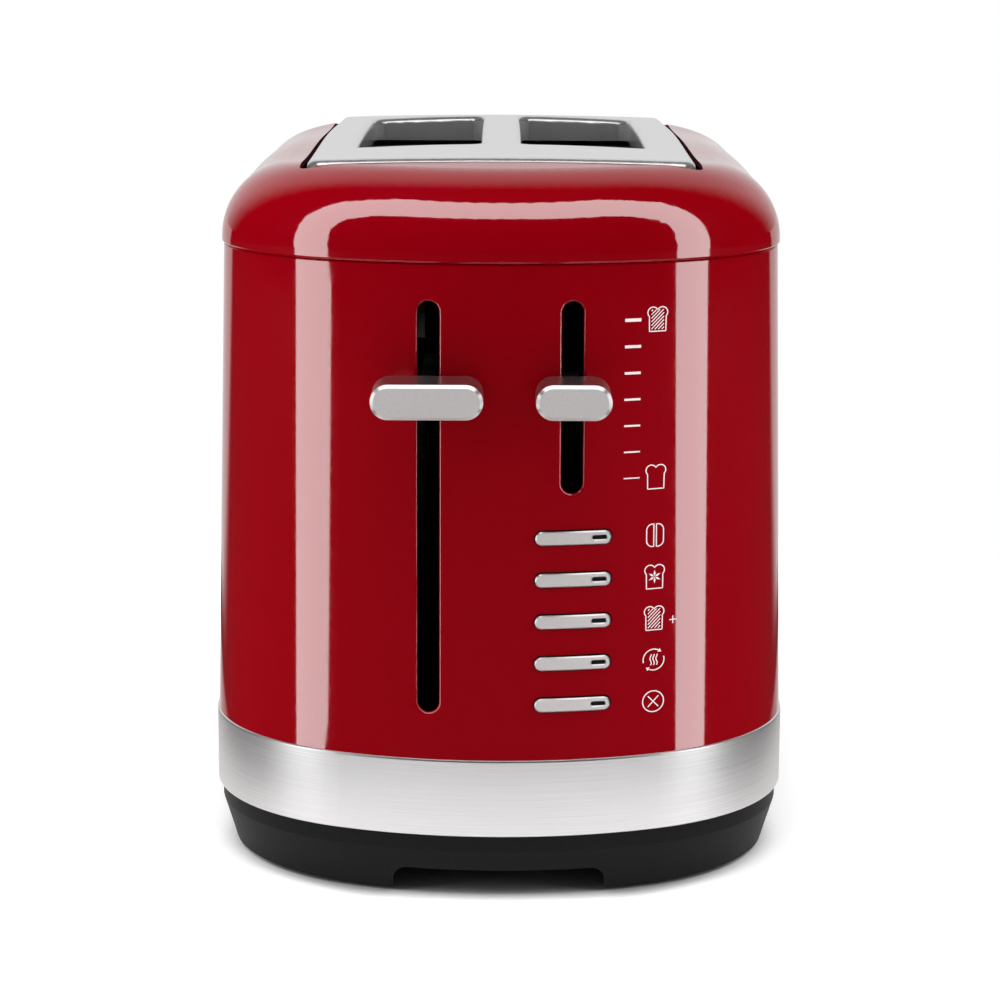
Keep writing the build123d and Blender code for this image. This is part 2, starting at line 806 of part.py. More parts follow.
# Bread racks: pronged rails on a tongue that runs through both end plates
tongue_front = carriage_y
tongue_rear = plate_y + sheet + tongue_reach
rail_length = slot_length - 2 * sliding
for name, x in (("rack_left", -slot_x), ("rack_right", slot_x)):
    with BuildPart() as rack:
        with BuildSketch(SIDE.offset(x - tongue_width / 2)):
            with Locations(((tongue_rear - tongue_front) / 2, control_z)):
                Rectangle(tongue_rear + tongue_front, tongue_height)
            with Locations((0, rack_z + (control_z + tongue_height / 2 - rack_z) / 2)):
                Rectangle(rail_length, control_z + tongue_height / 2 - rack_z, mode=Mode.SUBTRACT)
        extrude(amount=tongue_width)
        with BuildSketch(LEVEL.offset(rack_z - rack_sheet)):
            with Locations((x, 0)):
                Rectangle(rack_width, rail_length)
        extrude(amount=rack_sheet)
        with BuildSketch(LEVEL.offset(rack_z)):
            with Locations((x, 0)):
                with GridLocations(rack_width - rack_sheet, rail_length / prong_count, 2, prong_count):
                    Rectangle(rack_sheet, prong_length)
        extrude(amount=prong_height)
    rack.part.label = name
    export_step(rack.part, f"parts/{name}.step")

# Lever: flat stem through the shell's long slot, and its knob
stem_front = knob_back + knob_socket
with BuildPart() as lever_stem:
    with BuildSketch(FRONT.offset(carriage_y + carriage_sheet)):
        with Locations((lever_x, control_z)):
            Rectangle(stem_width, lever_stem_height)
    extrude(amount=stem_front - carriage_y - carriage_sheet)
lever_stem.part.label = "lever_stem"
export_step(lever_stem.part, "parts/lever_stem.step")


def knob(x, width, stem_height):
    """Pill-shaped knob with a bevelled face and a socket for its stem."""
    with BuildPart() as pill:
        with BuildSketch(FRONT.offset(knob_back)):
            with Locations((x, control_z)):
                SlotOverall(width, knob_height)
        extrude(amount=knob_depth)
        chamfer(pill.faces().sort_by(Axis.Y)[0].edges(), knob_chamfer)
        with BuildSketch(FRONT.offset(knob_back)):
            with Locations((x, control_z)):
                Rectangle(stem_width, stem_height)
        extrude(amount=knob_socket, mode=Mode.SUBTRACT)
    return pill.part


with BuildPart() as lever_knob:
    add(knob(lever_x, lever_knob_width, lever_stem_height))
lever_knob.part.label = "lever_knob"
export_step(lever_knob.part, "parts/lever_knob.step")

with BuildPart() as browning_knob:
    add(knob(browning_x, browning_knob_width, browning_stem_height))
browning_knob.part.label = "browning_knob"
export_step(browning_knob.part, "parts/browning_knob.step")

# Control board on its carrier, with the browning slider and button switches
carrier_x = carrier_left + carrier_width / 2
board_width = carrier_width - 2 * board_margin
standoff_x = board_width / 2 - standoff_radius
standoff_z = (board_high - board_low) / 2 - standoff_radius
board_middle = (board_low + board_high) / 2
with BuildPart() as control_carrier:
    with BuildSketch(FRONT.offset(flange_y)):
        with Locations((carrier_x, (chassis_foot + chassis_top) / 2)):
            Rectangle(carrier_width, chassis_top - chassis_foot)
    extrude(amount=carrier_sheet)
    with BuildSketch(FRONT.offset(carrier_y)):
        with Locations((carrier_x, board_middle)):
            with GridLocations(2 * standoff_x, 2 * standoff_z, 2, 2):
                Circle(standoff_radius)
    extrude(amount=standoff)
control_carrier.part.label = "control_carrier"
export_step(control_carrier.part, "parts/control_carrier.step")

with BuildPart() as control_board:
    with BuildSketch(FRONT.offset(carrier_y + standoff)):
        with Locations((carrier_x, board_middle)):
            Rectangle(board_width, board_high - board_low)
    extrude(amount=board_thickness)
control_board.part.label = "control_board"
export_step(control_board.part, "parts/control_board.step")

pot_slot_low = control_z - browning_down - browning_stem_height / 2 - sliding
pot_slot_high = control_z + browning_up + browning_stem_height / 2 + sliding
with BuildPart() as slide_pot:
    with BuildSketch(FRONT.offset(board_y)):
        with Locations((browning_x, (pot_slot_low + pot_slot_high) / 2)):
            Rectangle(pot_width, pot_slot_high - pot_slot_low + 2 * pot_end)
    extrude(amount=pot_depth)
    with BuildSketch(FRONT.offset(board_y + pot_depth)):
        with Locations((browning_x, (pot_slot_low + pot_slot_high) / 2)):
            Rectangle(stem_width + 2 * sliding, pot_slot_high - pot_slot_low)
    extrude(amount=-pot_dip - sliding, mode=Mode.SUBTRACT)
slide_pot.part.label = "slide_pot"
export_step(slide_pot.part, "parts/slide_pot.step")

browning_stem_back = board_y + pot_depth - pot_dip
with BuildPart() as browning_stem:
    with BuildSketch(FRONT.offset(browning_stem_back)):
        with Locations((browning_x, control_z)):
            Rectangle(stem_width, browning_stem_height)
    extrude(amount=stem_front - browning_stem_back)
browning_stem.part.label = "browning_stem"
export_step(browning_stem.part, "parts/browning_stem.step")

tact_front = board_y + tact_height
with BuildPart() as button_switches:
    with BuildSketch(FRONT.offset(board_y)):
        with Locations(*[(button_x, z) for z in button_heights]):
            Rectangle(tact_size, tact_size)
    extrude(amount=tact_height)
button_switches.part.label = "button_switches"
export_step(button_switches.part, "parts/button_switches.step")


def button_skin(height, proud):
    """Slice of the shell's outside round one button, stood out by proud."""
    return leaning_form(-proud, height - button_pitch / 2, height + button_pitch / 2)


# Buttons: pills that follow the shell's curve, each with a light window
button_back = tact_front + button_travel + running
for name, height in zip(button_names, button_heights):
    with BuildPart() as button:
        with BuildSketch(FRONT.offset(body_length / 2 - button_thickness)):
            with Locations((button_x, height)):
                SlotOverall(button_width, button_height)
        extrude(amount=2 * button_thickness)
        add(button_skin(height, button_proud), mode=Mode.INTERSECT)
        chamfer(button.faces().sort_by(Axis.Y)[0].edges(), button_chamfer)
        with BuildSketch(FRONT.offset(button_back)):
            with Locations((button_x, height)):
                Circle(button_stem_radius)
        extrude(amount=body_length / 2 - button_thickness - button_back)
        with BuildSketch(FRONT.offset(button_back)):
            with Locations((button_x + window_x, height)):
                SlotOverall(window_width, window_height)
        extrude(amount=body_length, mode=Mode.SUBTRACT)
        face = button.faces().filter_by(lambda face: face.inner_wires()).sort_by(Axis.Y)[0]
        chamfer([edge for wire in face.inner_wires() for edge in wire.edges()], window_chamfer)
    button.part.label = f"button_{name}"
    export_step(button.part, f"parts/button_{name}.step")
    with BuildPart() as window:
        with BuildSketch(FRONT.offset(body_length / 2 - button_thickness)):
            with Locations((button_x + window_x, height)):
                SlotOverall(window_width, window_height)
        extrude(amount=2 * button_thickness)
        add(button_skin(height, button_proud - window_proud), mode=Mode.INTERSECT)
    window.part.label = f"window_{name}"
    export_step(window.part, f"parts/window_{name}.step")
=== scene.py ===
import json
import math

import bpy
from mathutils import Matrix, Vector


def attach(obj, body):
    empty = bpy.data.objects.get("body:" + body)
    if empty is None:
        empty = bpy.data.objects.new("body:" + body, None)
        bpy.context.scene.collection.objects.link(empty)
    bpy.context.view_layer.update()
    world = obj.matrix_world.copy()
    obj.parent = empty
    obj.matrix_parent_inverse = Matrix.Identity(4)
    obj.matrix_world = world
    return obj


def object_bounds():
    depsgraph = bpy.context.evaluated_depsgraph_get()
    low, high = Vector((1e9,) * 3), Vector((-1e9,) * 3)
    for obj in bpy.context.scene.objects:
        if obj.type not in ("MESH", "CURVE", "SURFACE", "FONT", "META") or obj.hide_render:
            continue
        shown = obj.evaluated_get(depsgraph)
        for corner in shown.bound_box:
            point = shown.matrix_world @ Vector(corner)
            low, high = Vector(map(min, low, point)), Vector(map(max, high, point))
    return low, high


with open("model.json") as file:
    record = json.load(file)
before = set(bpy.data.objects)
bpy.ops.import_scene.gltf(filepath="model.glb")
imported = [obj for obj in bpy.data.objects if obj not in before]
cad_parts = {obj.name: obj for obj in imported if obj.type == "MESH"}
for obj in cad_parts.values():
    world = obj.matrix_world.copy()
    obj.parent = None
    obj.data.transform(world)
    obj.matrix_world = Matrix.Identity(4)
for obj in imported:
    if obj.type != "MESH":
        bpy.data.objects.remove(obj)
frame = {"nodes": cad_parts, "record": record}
cad_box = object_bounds()
nodes = frame["nodes"]
# Metres in a millimetre
MM = 0.001

# Viewpoint: place in metres, angles in degrees, lens and sensor in millimetres
camera_place = (0.0, -0.935, 0.269)
camera_pitch = -10.8
camera_roll = 0.22
camera_lens = 107.5
camera_sensor = 36.0


def add_node(tree, kind, links=None, **settings):
    """A new node with these settings; links gives each input a socket or a value."""
    node = tree.nodes.new(kind)
    for name, value in settings.items():
        setattr(node, name, value)
    for name, value in (links or {}).items():
        if isinstance(value, bpy.types.NodeSocket):
            tree.links.new(value, node.inputs[name])
        else:
            node.inputs[name].default_value = value
    return node


def calculate(tree, operation, *values):
    """Result of a Math node on sockets or plain values."""
    return add_node(tree, "ShaderNodeMath", dict(enumerate(values)), operation=operation).outputs[0]


def empty_tree(owner):
    """Node tree of a new material or world, with nothing in it."""
    owner.use_nodes = True
    owner.node_tree.nodes.clear()
    return owner.node_tree


def place_object(name, data):
    """New object in the scene."""
    thing = bpy.data.objects.new(name, data)
    bpy.context.collection.objects.link(thing)
    return thing


def place_mesh(name, points, faces, material):
    """New mesh object in the scene, with one material."""
    mesh = bpy.data.meshes.new(name)
    mesh.from_pydata(points, [], faces)
    mesh.materials.append(material)
    return place_object(name, mesh)


# Materials. The noise lies mostly between these two values; relief depths are in metres.
noise_low = 0.3
noise_high = 0.7
grain_depth = 0.0001
fine_depth = 0.00005


def even(value):
    """The same value for all three colours or axes."""
    return (value, value, value)


def start_material(name, **constants):
    """A Principled material with constants set on the shader's own sockets."""
    material = bpy.data.materials.new(name)
    material.use_nodes = True
    shader = material.node_tree.nodes["Principled BSDF"]
    for socket, value in constants.items():
        shader.inputs[socket.replace("_", " ")].default_value = value
    return material, material.node_tree, shader


def grain(tree, per_metre, detail=3.0):
    """Noise over the object's own coordinates, with its own pitch along each axis."""
    coords = add_node(tree, "ShaderNodeTexCoord")
    stretch = add_node(tree, "ShaderNodeMapping", {"Vector": coords.outputs["Object"], "Scale": per_metre})
    links = {"Vector": stretch.outputs["Vector"], "Scale": 1.0, "Detail": detail}
    return add_node(tree, "ShaderNodeTexNoise", links).outputs["Fac"]


def tint(tree, shader, fac, dark, light):
    """Base colour that wanders between two tones."""
    ramp = add_node(tree, "ShaderNodeValToRGB", {"Fac": fac})
    first, last = ramp.color_ramp.elements
    first.position = noise_low
    last.position = noise_high
    first.color = (*dark, 1.0)
    last.color = (*light, 1.0)
    tree.links.new(ramp.outputs["Color"], shader.inputs["Base Color"])


def roughen(tree, shader, fac, low, high):
    """Roughness that wanders between two values."""
    links = {"Value": fac, "From Min": noise_low, "From Max": noise_high, "To Min": low, "To Max": high}
    spread = add_node(tree, "ShaderNodeMapRange", links)
    tree.links.new(spread.outputs["Result"], shader.inputs["Roughness"])


def emboss(tree, shader, fac, strength, depth):
    """Fine relief from a texture."""
    bump = add_node(tree, "ShaderNodeBump", {"Height": fac, "Strength": strength, "Distance": depth})
    tree.links.new(bump.outputs["Normal"], shader.inputs["Normal"])


def grained(name, dark, light, rough, per_metre, relief=0.0, **constants):
    """Material whose colour, roughness and relief all follow one grain."""
    material, tree, shader = start_material(name, **constants)
    fac = grain(tree, per_metre)
    tint(tree, shader, fac, dark, light)
    roughen(tree, shader, fac, *rough)
    if relief:
        emboss(tree, shader, fac, relief, grain_depth)
    return material


def red_enamel():
    """Deep red gloss enamel with a faint orange peel."""
    cloud_per_metre = even(9)
    peel_per_metre = even(420)
    peel_detail = 1.0
    peel_relief = 0.012
    material, tree, shader = start_material("red_enamel")
    cloud = grain(tree, cloud_per_metre)
    peel = grain(tree, peel_per_metre, peel_detail)
    tint(tree, shader, cloud, dark=(0.225, 0.0, 0.003), light=(0.255, 0.0, 0.0045))
    roughen(tree, shader, peel, low=0.04, high=0.07)
    emboss(tree, shader, peel, peel_relief, fine_depth)
    return material


def satin_metal():
    """Satin face towards the front, polished bevels and sides."""
    satin_per_metre = even(2600)
    satin_relief = 0.05
    # The Y of the surface normal where the polish ends and where the satin is full
    polish_end = -0.8
    satin_full = -0.93
    material, tree, shader = start_material("satin_metal")
    fac = grain(tree, satin_per_metre)
    tint(tree, shader, fac, dark=(0.57, 0.54, 0.54), light=(0.63, 0.6, 0.6))
    normal = add_node(tree, "ShaderNodeNewGeometry").outputs["Normal"]
    ahead = add_node(tree, "ShaderNodeSeparateXYZ", {"Vector": normal}).outputs["Y"]
    for socket, sides, face in (("Roughness", 0.28, 0.5), ("Metallic", 1.0, 0.35)):
        links = {"Value": ahead, "From Min": polish_end, "From Max": satin_full}
        links.update({"To Min": sides, "To Max": face})
        satin = add_node(tree, "ShaderNodeMapRange", links)
        tree.links.new(satin.outputs["Result"], shader.inputs[socket])
    emboss(tree, shader, fac, satin_relief, fine_depth)
    return material


recipes = {
    "brushed_steel": {"dark": even(0.78), "light": even(0.9), "rough": (0.3, 0.38),
                      "per_metre": (25, 25, 5200), "relief": 0.05, "Metallic": 0.95},
    "trim_steel": {"dark": even(0.69), "light": even(0.75), "rough": (0.2, 0.26),
                   "per_metre": (3800, 30, 30), "relief": 0.012, "Metallic": 0.86},
    "black_plastic": {"dark": (0.006, 0.006, 0.0062), "light": (0.01, 0.01, 0.0104), "rough": (0.42, 0.52),
                      "per_metre": even(1900), "relief": 0.1, "Specular_IOR_Level": 0.12},
    "rubber": {"dark": even(0.014), "light": even(0.026), "rough": (0.75, 0.9),
               "per_metre": even(900), "relief": 0.2},
    "dark_window": {"dark": (0.006, 0.006, 0.007), "light": (0.012, 0.011, 0.012), "rough": (0.12, 0.2),
                    "per_metre": even(500)},
    "galvanised_sheet": {"dark": (0.34, 0.34, 0.35), "light": (0.52, 0.52, 0.53), "rough": (0.3, 0.5),
                         "per_metre": even(160), "Metallic": 1.0},
    # Painted shade: near-black sheet for the parts seen in the shadow behind the control slots
    "painted_shade_sheet": {"dark": even(0.004), "light": even(0.007), "rough": (0.6, 0.75),
                   "per_metre": even(160), "Specular_IOR_Level": 0.1},
    "plain_steel": {"dark": even(0.36), "light": (0.48, 0.48, 0.47), "rough": (0.28, 0.42),
                    "per_metre": (60, 60, 1500), "Metallic": 1.0},
    "mica": {"dark": (0.36, 0.29, 0.2), "light": (0.52, 0.44, 0.33), "rough": (0.4, 0.6),
             "per_metre": even(240), "relief": 0.1},
    "heating_ribbon": {"dark": (0.2, 0.17, 0.15), "light": (0.34, 0.3, 0.27), "rough": (0.4, 0.6),
                       "per_metre": even(700), "Metallic": 1.0},
    "copper_winding": {"dark": (0.36, 0.12, 0.05), "light": (0.55, 0.24, 0.11), "rough": (0.25, 0.45),
                       "per_metre": (60, 60, 3200), "relief": 0.4, "Metallic": 1.0},
    "control_plastic": {"dark": (0.05, 0.05, 0.052), "light": (0.09, 0.09, 0.092), "rough": (0.4, 0.55),
                        "per_metre": even(1200), "relief": 0.08},
    "board_green": {"dark": (0.015, 0.1, 0.035), "light": (0.03, 0.17, 0.06), "rough": (0.3, 0.45),
                    "per_metre": even(300)},
    "print_ink": {"dark": (0.92, 0.8, 0.81), "light": (0.98, 0.88, 0.89), "rough": (0.35, 0.5),
                  "per_metre": even(700)},
}
materials = {name: grained(name, **recipe) for name, recipe in recipes.items()}
materials["red_enamel"] = red_enamel()
materials["satin_metal"] = satin_metal()

# Each node takes its slot from the record. The trim has its own polish, and the parts that show through
# the control slots get a near-black sheet as painted shade, in place of their own finish.
finishes = {entry["node"]: entry["material_slot"] for entry in frame["record"]["subparts"]}
finishes["top_trim"] = "trim_steel"
for name in ("front_plate", "carriage", "lever_stem", "control_carrier", "slide_pot"):
    finishes[name] = "painted_shade_sheet"
for name, finish in finishes.items():
    mesh = nodes[name].data
    mesh.materials.clear()
    mesh.materials.append(materials[finish])

# Printed marks: flat strokes laid on the front of the shell, in millimetres. Places of marks are on
# the front, and the outline of each mark is round its own middle.
ink_lift = 0.05
ink_step = 0.5
cast_ahead = 100.0
tick_left = 34.2
tick_right = 38.7
tick_low = 119.9
tick_high = 163.9
tick_count = 7
tick_thin = 0.32
tick_thick = 0.9
icon_x = 43.3
bagel_z = 103.4
defrost_z = 91.6
extra_z = 79.8
reheat_z = 67.9
cancel_z = 55.9
plus_x = 48.7
plus_z = 78.9
icon_line = 0.3
hatch_line = 0.25
ring_radius = 3.0


def on_shell(x, z):
    """Point just proud of the shell's front at x and z."""
    start = Vector((x * MM, cad_box[0][1] - cast_ahead * MM, z * MM))
    hit, place, normal, _ = nodes["body_shell"].ray_cast(start, Vector((0, 1, 0)))
    assert hit, "a printed mark lies off the shell"
    return place + normal * ink_lift * MM


def divided(points, closed):
    """The same path with no step longer than the ink step."""
    ends = points[1:] + points[:1] if closed else points[1:]
    path = []
    for (x0, z0), (x1, z1) in zip(points, ends):
        parts = max(1, math.ceil(math.hypot(x1 - x0, z1 - z0) / ink_step))
        path += [(x0 + (x1 - x0) * i / parts, z0 + (z1 - z0) * i / parts) for i in range(parts)]
    return path if closed else path + [points[-1]]


def stroke(points, width, closed=False):
    """Quads of a line of even width along a path, as rows of x and z."""
    path = divided(points, closed)
    count = len(path)
    rows = []
    for i, (x, z) in enumerate(path):
        before = path[i - 1] if closed or i else path[i]
        after = path[(i + 1) % count] if closed or i < count - 1 else path[i]
        along = Vector((after[0] - before[0], after[1] - before[1])).normalized()
        side = Vector((-along.y, along.x)) * width / 2
        rows.append(((x + side.x, z + side.y), (x - side.x, z - side.y)))
    last = count if closed else count - 1
    return [(*rows[i], *reversed(rows[(i + 1) % count])) for i in range(last)]


def arc(x, z, radius, start, end, parts=14):
    """Points along a circle between two angles in degrees."""
    angles = [math.radians(start + (end - start) * i / parts) for i in range(parts + 1)]
    return [(x + radius * math.cos(a), z + radius * math.sin(a)) for a in angles]


def turned(points, degrees):
    """The same points turned about the mark's middle."""
    turn = Matrix.Rotation(math.radians(degrees), 2)
    return [tuple(turn @ Vector(point)) for point in points]


def print_mark(name, faces, x=0.0, z=0.0):
    """One printed mark, riding on the housing."""
    points = [on_shell(x + px, z + pz) for face in faces for px, pz in face]
    places = iter(range(len(points)))
    corners = [[next(places) for _ in face] for face in faces]
    mark = place_mesh(name, points, corners, materials["print_ink"])
    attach(mark, "housing")


def loaf():
    """Outline of a slice of bread with two lobes at its top."""
    half = 2.3
    foot = -3.35
    right = arc(x=1.3, z=1.85, radius=1.5, start=-45, end=150)
    left = [(-x, z) for x, z in reversed(right)]
    return [(-half, foot), (half, foot)] + right + left[1:]


def plain_loaf():
    """Slice of bread."""
    return stroke(loaf(), icon_line, True)


def hatched_loaf():
    """Slice of bread filled with slanting lines a millimetre apart."""
    half = 1.75
    low = -2.85
    high = 2.65
    most = 4
    faces = plain_loaf()
    for i in range(-most, most + 1):
        start = max(-half, low + i)
        end = min(half, high + i)
        if end - start > hatch_line:
            faces += stroke([(start, start - i), (end, end - i)], hatch_line)
    return faces


def snowflake():
    """Six pointed petals round a centre."""
    petals = 6
    half = 0.3
    root = 0.1
    belly = 0.95
    tip = 1.9
    kite = ((0, root), (half, belly), (0, tip), (-half, belly))
    return [turned(kite, 360 / petals * i) for i in range(petals)]


def bagel():
    """Two halves of a bagel, cut faces inwards."""
    cut = 0.36
    end = 3.2
    middle_x = 0.7
    middle_z = 1.5
    radius = 1.7
    sweep = 75
    parts = 8
    low = arc(middle_x, -middle_z, radius, -sweep, 0, parts)
    high = arc(middle_x, middle_z, radius, 0, sweep, parts)
    right = [(cut, -end)] + low + high + [(cut, end)]
    left = [(-x, z) for x, z in right]
    return stroke(right, icon_line, True) + stroke(left, icon_line, True)


def reheat():
    """Two arrows chasing round three waves of heat."""
    arrow_ends = ((195, 60), (15, -120))
    arrow_tips = (60, 240)
    arrow_head = ((3.6, 0.1), (2.4, 0.1), (2.95, -0.8))
    wave_gap = 0.85
    wave_swing = 0.2
    wave_foot = -1.55
    wave_step = 0.31
    wave_points = 11
    points_per_swing = 8
    faces = []
    for start, end in arrow_ends:
        faces += stroke(arc(0, 0, ring_radius, start, end), icon_line)
    faces += [turned(arrow_head, tip) for tip in arrow_tips]
    for x in (-wave_gap, 0, wave_gap):
        angles = [2 * math.pi * i / points_per_swing for i in range(wave_points)]
        swings = [x + wave_swing * math.sin(angle) for angle in angles]
        wave = [(swing, wave_foot + wave_step * i) for i, swing in enumerate(swings)]
        faces += stroke(wave, icon_line)
    return faces


def cancel():
    """Circle with a cross in it."""
    cross_x = 1.5
    cross_z = 1.55
    ring = arc(0, 0, ring_radius, 0, 360, parts=40)[:-1]
    faces = stroke(ring, icon_line, True)
    for side in (-1, 1):
        faces += stroke([(-cross_x, -cross_z * side), (cross_x, cross_z * side)], icon_line)
    return faces


def plus():
    """Sign for a little more."""
    half_x = 1.0
    half_z = 1.1
    return stroke([(-half_x, 0), (half_x, 0)], icon_line) + stroke([(0, -half_z), (0, half_z)], icon_line)


tick_pitch = (tick_high - tick_low) / (tick_count - 1)
for i in range(tick_count):
    z = tick_low + i * tick_pitch
    width = tick_thin + (tick_thick - tick_thin) * i / (tick_count - 1)
    print_mark(f"tick_{i + 1}", stroke([(tick_left, z), (tick_right, z)], width))
print_mark("mark_dark", hatched_loaf(), icon_x, tick_high)
print_mark("mark_light", plain_loaf(), icon_x, tick_low)
print_mark("mark_bagel", bagel(), icon_x, bagel_z)
print_mark("mark_defrost", plain_loaf() + snowflake(), icon_x, defrost_z)
print_mark("mark_extra", hatched_loaf(), icon_x, extra_z)
print_mark("mark_more", plus(), plus_x, plus_z)
print_mark("mark_reheat", reheat(), icon_x, reheat_z)
print_mark("mark_cancel", cancel(), icon_x, cancel_z)

# Arch of strip lights round the front, seen as the pink bands on the enamel. Its edges are bearings
# and heights in degrees as seen from the enamel at face_place, and its distances are in metres.
strip_strength = 9.0
strip_foot = 0.165
strip_low = 0.21
strip_high = 0.46
strip_turn = 0.6
face_place = (0.058, -0.115, 0.19)
arch_inner = {"foot": 57.5, "side": 57.5, "top": 45.5, "corner": (21.0, 27.0)}
arch_outer = {"foot": 77.5, "side": 81.0, "top": 72.0, "corner": (28.0, 36.0)}
corner_steps = 12
over_steps = 8


def light_only(source, names):
    """Let a light or a card reach only these nodes."""
    takers = bpy.data.collections.new(source.name)
    for name in names:
        takers.objects.link(nodes[name])
    source.light_linking.receiver_collection = takers


def card(name, points, faces, strength):
    """Bright card beside the set that only shows in reflections."""
    glow = bpy.data.materials.new(name)
    tree = empty_tree(glow)
    light = add_node(tree, "ShaderNodeEmission", {"Strength": strength})
    add_node(tree, "ShaderNodeOutputMaterial", {"Surface": light.outputs["Emission"]})
    panel = place_mesh(name, points, faces, glow)
    panel.visible_camera = False
    panel.visible_diffuse = False
    panel.visible_shadow = False
    panel.visible_transmission = False
    return panel


def arch_reach(height):
    """Distance of the arch from the enamel at this height."""
    return strip_low + (strip_high - strip_low) * min(height / arch_inner["top"], 1)


def arch_point(bearing, height, reach):
    """Point of the arch at this bearing, height and distance as seen from the enamel."""
    turn, lift = math.radians(bearing), math.radians(height)
    out, back, up = face_place
    x = out * math.sin(turn) + reach * math.sin(turn) * math.cos(lift)
    return (x, back - reach * math.cos(turn) * math.cos(lift), up + reach * math.sin(lift))


def arch_edge(foot, side, top, corner):
    """One edge of the arch, from the floor at its left over to the floor at its right."""
    bearings = [(side, 0.0)]
    for i in range(corner_steps + 1):
        turn = math.radians(90 * i / corner_steps)
        bearings.append((side - corner[0] * (1 - math.cos(turn)), top - corner[1] * (1 - math.sin(turn))))
    for i in range(1, over_steps):
        bearings.append(((side - corner[0]) * (1 - i / over_steps), top))
    right = [(*arch_point(foot, 0.0, strip_foot)[:2], 0.0)]
    right += [arch_point(bearing, height, arch_reach(height)) for bearing, height in bearings]
    return [(-x, y, z) for x, y, z in right] + right[::-1]


inner = arch_edge(**arch_inner)
outer = arch_edge(**arch_outer)
quads = [(i, i + 1, i + 1 + len(inner), i + len(inner)) for i in range(len(inner) - 1)]
strips = card("strip_arch", inner + outer, quads, strip_strength)
strips.rotation_euler.z = math.radians(strip_turn)
light_only(strips, ["lid", "body_shell"])

# Lamps that light the whole set: place and size in metres, then watts
lamp_aim = (0, 0, 0.1)
lamps = (
    ("lamp_left", (-1.75, -0.45, 0.8), (1.2, 1.2), 28),
    ("lamp_right", (1.75, -0.45, 0.8), (1.2, 1.2), 23),
    ("lamp_over", (0, -0.2, 2.0), (1.8, 1.8), 30),
)
# Weak panels that light and show in bare metal only: the same, then the nodes they reach
satin_nodes = [name for name, finish in finishes.items() if finish == "satin_metal"]
panels = (
    ("panel_left", (-0.2, -0.158, 0.12), (0.09, 0.24), 0.13, ["base_band"] + satin_nodes),
    ("panel_right", (0.2, -0.158, 0.12), (0.09, 0.24), 0.13, ["base_band"] + satin_nodes),
    ("panel_over", (0, -0.33, 0.5), (0.5, 0.2), 0.55, ["top_trim"]),
    ("panel_knobs", (0, -0.21, 0.5), (1.2, 0.16), 1.5, satin_nodes),
)


def soft_light(name, place, size, energy, takers=()):
    """Soft lamp aimed at the toaster. One with takers reaches only them and shows in them."""
    lamp = bpy.data.lights.new(name, "AREA")
    lamp.shape = "RECTANGLE"
    lamp.size, lamp.size_y = size
    lamp.energy = energy
    light = place_object(name, lamp)
    light.location = place
    aim = Vector(lamp_aim) - Vector(place)
    light.rotation_euler = aim.to_track_quat("-Z", "Y").to_euler()
    light.visible_glossy = bool(takers)
    if takers:
        light_only(light, takers)


for values in lamps + panels:
    soft_light(*values)

# World: white behind the toaster, a dark studio in front of it in reflections. A direction counts as
# behind by its Y and a share of its Z. Ramps are start, end and height.
white = (1, 1, 1, 1)
world_rise = 0.55
world_ramp = (0.66, 0.98, 0.78)
fill_strength = 0.25
studio_strength = 0.006


def background(tree, glossy_white):
    """Factor that is 1 where the white background shows: to the eye, and in gloss and glass."""
    path = add_node(tree, "ShaderNodeLightPath")
    gloss = calculate(tree, "MULTIPLY", path.outputs["Is Glossy Ray"], glossy_white)
    seen = calculate(tree, "MAXIMUM", path.outputs["Is Camera Ray"], path.outputs["Is Transmission Ray"])
    return calculate(tree, "MAXIMUM", seen, gloss), path


def ramp_up(tree, value, start, end, height=1.0):
    """Smooth rise from 0 to this height between two values."""
    links = {"Value": value, "From Min": start, "From Max": end, "To Max": height}
    return add_node(tree, "ShaderNodeMapRange", links, interpolation_type="SMOOTHSTEP").outputs["Result"]


world = bpy.data.worlds.new("studio")
tree = empty_tree(world)
direction = add_node(tree, "ShaderNodeTexCoord").outputs["Generated"]
parts = add_node(tree, "ShaderNodeSeparateXYZ", {"Vector": direction})
behind = calculate(tree, "MULTIPLY_ADD", parts.outputs["Z"], world_rise, parts.outputs["Y"])
shown, path = background(tree, ramp_up(tree, behind, *world_ramp))
links = {"Value": path.outputs["Is Glossy Ray"], "To Min": fill_strength, "To Max": studio_strength}
studio = add_node(tree, "ShaderNodeMapRange", links)
dim = add_node(tree, "ShaderNodeBackground", {"Color": white, "Strength": studio.outputs["Result"]})
bright = add_node(tree, "ShaderNodeBackground", {"Color": white, "Strength": 1.0})
blend = add_node(tree, "ShaderNodeMixShader", {0: shown, 1: dim.outputs[0], 2: bright.outputs[0]})
add_node(tree, "ShaderNodeOutputWorld", {"Surface": blend.outputs[0]})
bpy.context.scene.world = world

# Floor: white paper that keeps the shadow near the toaster, in metres. Its reach is a distance from the
# middle that grows as a rounded square, squeezed sideways.
floor_size = 30.0
floor_squeeze = 1.6
floor_square = 3.0
paper_tone = 0.9
# From far_ramp on it is plain white. In reflections it is white only behind the toaster, in a wedge
# with this slope, and dark from dark_ramp on and to the sides.
far_ramp = (0.3, 0.45)
wedge_slope = -1.2
wedge_ramp = (-0.15, 0.05, 0.78)
dark_ramp = (0.25, 0.3)
aside_ramp = (0.11, 0.17, 0.5)
dark_tone = (0.03, 0.03, 0.03, 1)
# The shadow under the base follows how much of the sky is shut out within this distance, and
# thin_ramp makes it narrower beside the base, as in the photograph.
contact_distance = 0.014
contact_shut = 0.4
contact_open = 0.82
contact_dark = 0.3
contact_white = 1.3
thin_ramp = (0.035, 0.08, 0.31)

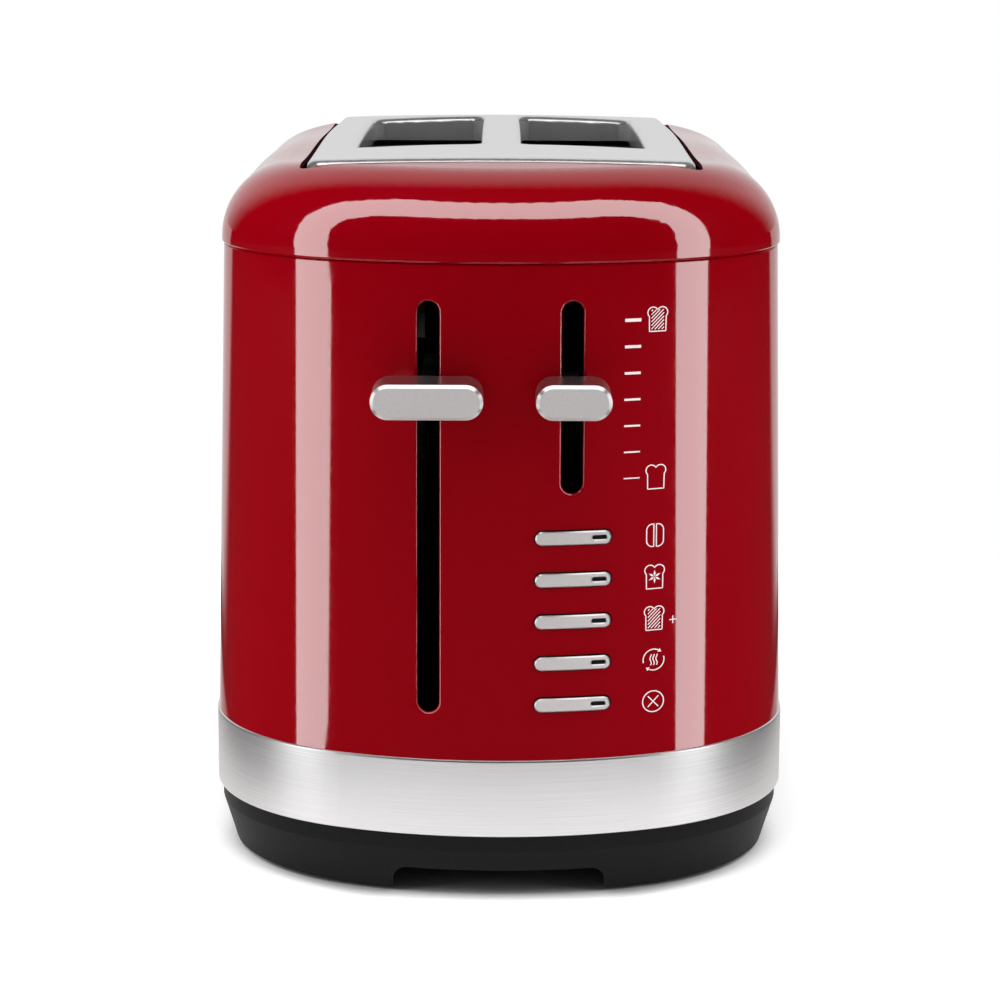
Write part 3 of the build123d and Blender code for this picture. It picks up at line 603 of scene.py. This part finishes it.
paper = bpy.data.materials.new("floor_paper")
tree = empty_tree(paper)
place = add_node(tree, "ShaderNodeNewGeometry").outputs["Position"]
parts = add_node(tree, "ShaderNodeSeparateXYZ", {"Vector": place})
aside = calculate(tree, "ABSOLUTE", parts.outputs["X"])
along = calculate(tree, "ABSOLUTE", parts.outputs["Y"])
across = calculate(tree, "POWER", calculate(tree, "MULTIPLY", aside, floor_squeeze), floor_square)
along = calculate(tree, "POWER", along, floor_square)
reach = calculate(tree, "POWER", calculate(tree, "ADD", across, along), 1 / floor_square)
behind = calculate(tree, "MULTIPLY_ADD", aside, wedge_slope, parts.outputs["Y"])
shown, path = background(tree, ramp_up(tree, behind, *wedge_ramp))
far = calculate(tree, "MULTIPLY", shown, ramp_up(tree, reach, *far_ramp))
dark = calculate(tree, "MAXIMUM", ramp_up(tree, reach, *dark_ramp), ramp_up(tree, aside, *aside_ramp))
gone = calculate(tree, "MULTIPLY", path.outputs["Is Glossy Ray"], dark)
sky = add_node(tree, "ShaderNodeAmbientOcclusion", {"Distance": contact_distance}).outputs["AO"]
links = {
    "Value": calculate(tree, "ADD", sky, ramp_up(tree, aside, *thin_ramp)),
    "From Min": contact_shut,
    "From Max": contact_open,
    "To Min": contact_dark,
    "To Max": contact_white,
}
contact = add_node(tree, "ShaderNodeMapRange", links).outputs["Result"]
links = {"Value": path.outputs["Is Camera Ray"], "To Min": paper_tone, "To Max": contact}
tone = add_node(tree, "ShaderNodeMapRange", links)
lit = add_node(tree, "ShaderNodeBsdfDiffuse", {"Color": tone.outputs["Result"]})
shade = add_node(tree, "ShaderNodeBsdfDiffuse", {"Color": dark_tone})
glow = add_node(tree, "ShaderNodeEmission", {"Strength": 1.0})
near = add_node(tree, "ShaderNodeMixShader", {0: gone, 1: lit.outputs[0], 2: shade.outputs[0]})
blend = add_node(tree, "ShaderNodeMixShader", {0: far, 1: near.outputs[0], 2: glow.outputs[0]})
add_node(tree, "ShaderNodeOutputMaterial", {"Surface": blend.outputs[0]})
corners = [(-1, -1), (1, -1), (1, 1), (-1, 1)]
floor = place_mesh("floor", [(x * floor_size, y * floor_size, 0) for x, y in corners], [range(4)], paper)

# Camera at the photograph's viewing angle
lens = bpy.data.cameras.new("camera")
lens.lens = camera_lens
lens.sensor_width = camera_sensor
camera = place_object("camera", lens)
turn = Matrix.Rotation(math.radians(90 + camera_pitch), 4, "X")
roll = Matrix.Rotation(math.radians(camera_roll), 4, "Z")
camera.matrix_world = Matrix.Translation(camera_place) @ turn @ roll
bpy.context.scene.camera = camera
bpy.context.scene.view_settings.view_transform = "Standard"
